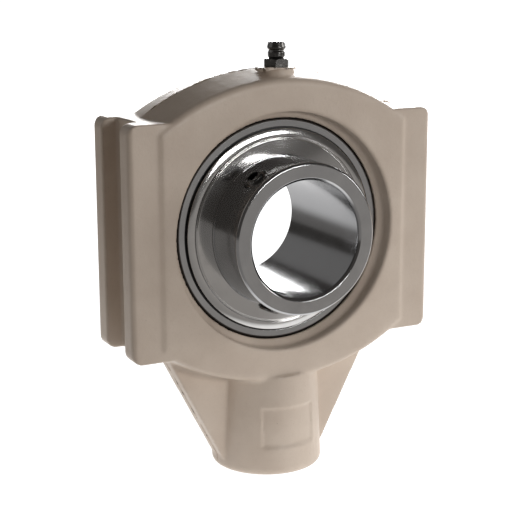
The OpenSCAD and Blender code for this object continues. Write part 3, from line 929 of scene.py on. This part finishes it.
def makePaintRim():
    recipe = Recipe("paintRimTree", takesMesh=True)
    loop = recipe.node("GeometryNodeMeshToCurve", {}, {0: recipe.source.outputs["Geometry"]})[0]
    noise, shades = recipe.node("ShaderNodeTexNoise", {"noise_dimensions": "4D"}, {
        "W": recipe.size("Seed", paintRim["seed"]), "Scale": recipe.size("Blotch", paintRim["blotch"]),
        "Detail": paintRim["detail"]})
    shift = recipe.node("ShaderNodeVectorMath", {"operation": "SUBTRACT"}, {
        0: shades, 1: (0.5, 0.5, 0.5)})[0]
    offset = recipe.node("ShaderNodeVectorMath", {"operation": "SCALE"}, {
        0: shift, "Scale": recipe.size("Wander", 2 * paintRim["wander"])})[0]
    loop = recipe.node("GeometryNodeSetPosition", {}, {"Geometry": loop, "Offset": offset})[0]
    loop = recipe.node("GeometryNodeSetCurveNormal", {"mode": "Z_UP"}, {"Curve": loop})[0]
    lip = recipe.node("GeometryNodeCurvePrimitiveQuadrilateral", {}, {
        "Width": recipe.size("Wide", paintRim["wide"]), "Height": recipe.size("Thick", paintRim["thick"])})[0]
    lean = recipe.node("GeometryNodeInputNamedAttribute", {"data_type": "FLOAT"}, {"Name": "lean"})[0]
    burr = recipe.maths("MULTIPLY", lean, recipe.size("Burr", paintRim["burr"]))
    low, high = paintRim["ragged"]
    thin, thick = paintRim["swell"]
    swell = recipe.node("ShaderNodeMapRange", {}, {0: noise, 1: low, 2: high, 3: thin, 4: thick})[0]
    swept = recipe.node("GeometryNodeCurveToMesh", {}, {
        "Curve": loop, "Profile Curve": lip, "Scale": recipe.maths("ADD", swell, burr)})[0]
    rim = recipe.make("paintRim", swept, finPaint, makeRimPath())
    smooth(rim.data, paintRim["crease"])
    return settle(rim, "housing", "cast_housing", finish=finPaint)


makePaintRim()
print("screws and nipple done")


# Studio: painted light, a floor that glows bright under and behind the part, dimmer in front and far to the sides

studio = {
    "lens": 94.8, "sensor": 36, "eye": (-0.2144, -0.4185, 0.0954), "right": (0.892, -0.453, -0.003),
    "up": (0.104, 0.199, 0.975), "depth": 4.2, "front": -1.2, "half": 2.6, "rise": 1.2, "bend": 0.8,
    "bends": 16, "world": (0.075, 0.07, 0.065),
}
# painted light: glow colours and paint of the floor, white and lighter where it is lit round the part
sweepGlow = {
    "glow": 1.04, "white": tint(1, 1, 1), "dark": tint(0.26, 0.25, 0.24), "grey": tint(0.36, 0.34, 0.32),
    "litPaint": tint(0.2, 0.2, 0.2), "dimPaint": tint(0.04, 0.04, 0.04), "splay": 0.2,
    "litFront": (-0.09, -0.057), "litLeft": (-0.27, -0.14), "litRight": (0.7, 0.45),
    "greySide": (0.06, 0.18), "greyFront": (-0.65, -0.1),
}
lamps = {  # place along, across and up from the part, then size and power
    "backLamp": ((1.5, 0.3, 0.42), (1.3, 0.45), 34),
    "backRightLamp": ((1.26, 0.71, 0.69), (0.8, 0.45), 14),
    "leftLamp": ((-0.1, -1.3, 0.6), (1.2, 0.9), 1.8),
    "backLeftLamp": ((0.7, -0.95, 0.62), (1.1, 0.8), 0.8),
    "frontRightLamp": ((-0.7, 0.66, 0.17), (0.38, 0.16), 3.05),
    "rightLamp": ((0.1, 0.95, 0.25), (0.4, 0.3), 2.5),
}
acrossView = Vector((*studio["right"][:2], 0)).normalized()
alongView = Vector((-acrossView.y, acrossView.x, 0))


def makeSweep():  # floor that curves up into a backdrop, along the line of sight
    level = cadBounds[0][2]
    bend = studio["bend"]
    rows = [(studio["front"], 0.0)]
    for k in range(studio["bends"] + 1):
        a = math.radians(90 * k / studio["bends"])
        rows.append((studio["depth"] - bend + bend * math.sin(a), bend - bend * math.cos(a)))
    rows.append((studio["depth"], studio["rise"]))
    points = []
    for along, lift in rows:
        for across in (-studio["half"], studio["half"]):
            points.append(alongView * along + acrossView * across + Vector((0, 0, level + lift)))
    faces = [(2 * i, 2 * i + 1, 2 * i + 3, 2 * i + 2) for i in range(len(rows) - 1)]
    mesh = bpy.data.meshes.new("sweep")
    mesh.from_pydata(points, [], faces)
    mesh.shade_smooth()
    mesh.materials.append(makeSweepGlow())
    link("sweep", mesh)


def makeSweepGlow():  # painted light: the floor glows bright round the part and behind it, dimmer towards the room
    sheet = Finish("glowingSweep", 1.0, **{"Specular IOR Level": 0.0, "Emission Strength": sweepGlow["glow"]})
    parts = sheet.node("ShaderNodeSeparateXYZ", {}, {0: sheet.place})
    along = parts["X"] * alongView.x + parts["Y"] * alongView.y
    across = parts["X"] * acrossView.x + parts["Y"] * acrossView.y
    splay = sweepGlow["splay"] * along
    lit = sheet.ramp(along, *sweepGlow["litFront"]) * sheet.ramp(across + splay, *sweepGlow["litLeft"])
    lit = lit * sheet.ramp(across - splay, *sweepGlow["litRight"])
    grey = sheet.ramp(across, *sweepGlow["greySide"]) * sheet.ramp(along, *sweepGlow["greyFront"])
    room = sheet.mix(grey, sweepGlow["dark"], sweepGlow["grey"])
    sheet.feed("Emission Color", sheet.mix(lit, room, sweepGlow["white"]))
    # painted light: the floor's paint is lighter where it glows
    sheet.feed("Base Color", sheet.mix(lit, sweepGlow["dimPaint"], sweepGlow["litPaint"]))
    return sheet.material


def makeLamp(name, place, size, power):
    lamp = bpy.data.lights.new(name, "AREA")
    lamp.shape = "RECTANGLE"
    lamp.size, lamp.size_y = size
    lamp.energy = power
    made = bpy.data.objects.new(name, lamp)
    bpy.context.scene.collection.objects.link(made)
    made.location = alongView * place[0] + acrossView * place[1] + Vector((0, 0, place[2]))
    made.rotation_euler = (-made.location).to_track_quat("-Z", "Y").to_euler()


def makeCamera():
    right = Vector(studio["right"]).normalized()
    up = Vector(studio["up"])
    up = (up - right * up.dot(right)).normalized()
    back = right.cross(up)
    eye = bpy.data.cameras.new("eye")
    eye.lens = studio["lens"]
    eye.sensor_width = studio["sensor"]
    made = bpy.data.objects.new("eye", eye)
    bpy.context.scene.collection.objects.link(made)
    turn = Matrix((right, up, back)).transposed().to_4x4()
    made.matrix_world = Matrix.Translation(studio["eye"]) @ turn
    bpy.context.scene.camera = made


def makeRoom():
    room = bpy.data.worlds.new("room")
    room.use_nodes = True
    room.node_tree.nodes["Background"].inputs["Color"].default_value = (*studio["world"], 1)
    bpy.context.scene.world = room


makeSweep()
makeCamera()
makeRoom()
for lampName, (lampPlace, lampSize, lampPower) in lamps.items():
    makeLamp(lampName, lampPlace, lampSize, lampPower)
bpy.context.scene.view_settings.view_transform = "Standard"
print("studio set")
